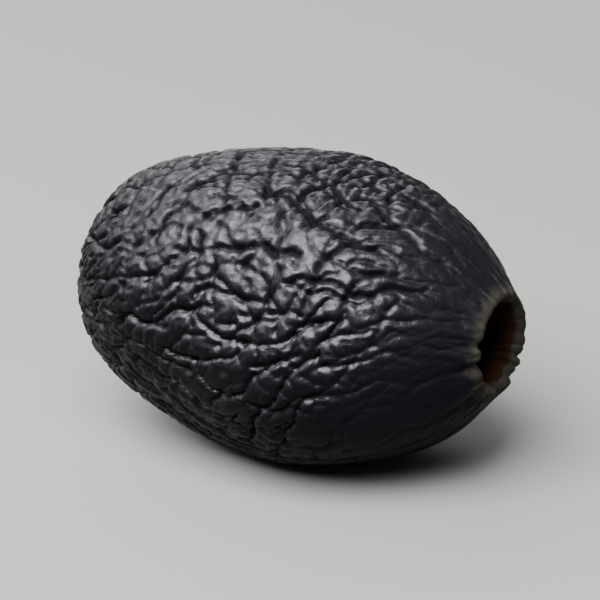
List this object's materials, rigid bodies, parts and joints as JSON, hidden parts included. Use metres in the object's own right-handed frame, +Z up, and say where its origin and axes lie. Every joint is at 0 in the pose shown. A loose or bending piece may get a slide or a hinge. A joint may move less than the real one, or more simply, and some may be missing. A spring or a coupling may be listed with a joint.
{
  "type": "pitted dried jujube",
  "caption": "Pitted black jujube: a smoked, dried and wrinkled oval fruit, its stone punched out along its length, lying on a small flat spot.",
  "frame": {"origin": "middle of the flat spot that it rests on, under the belly", "axes": "+X along the fruit and its stone hole, from the stem end to the tip end; +Z up, away from the surface"},
  "size_m": [0.0341, 0.0245, 0.0232],
  "materials": {
    "skin": "smoked black fruit skin, satin, wrinkled"
  },
  "bodies": {
    "root": {"jujube": "skin"}
  },
  "joints": []
}
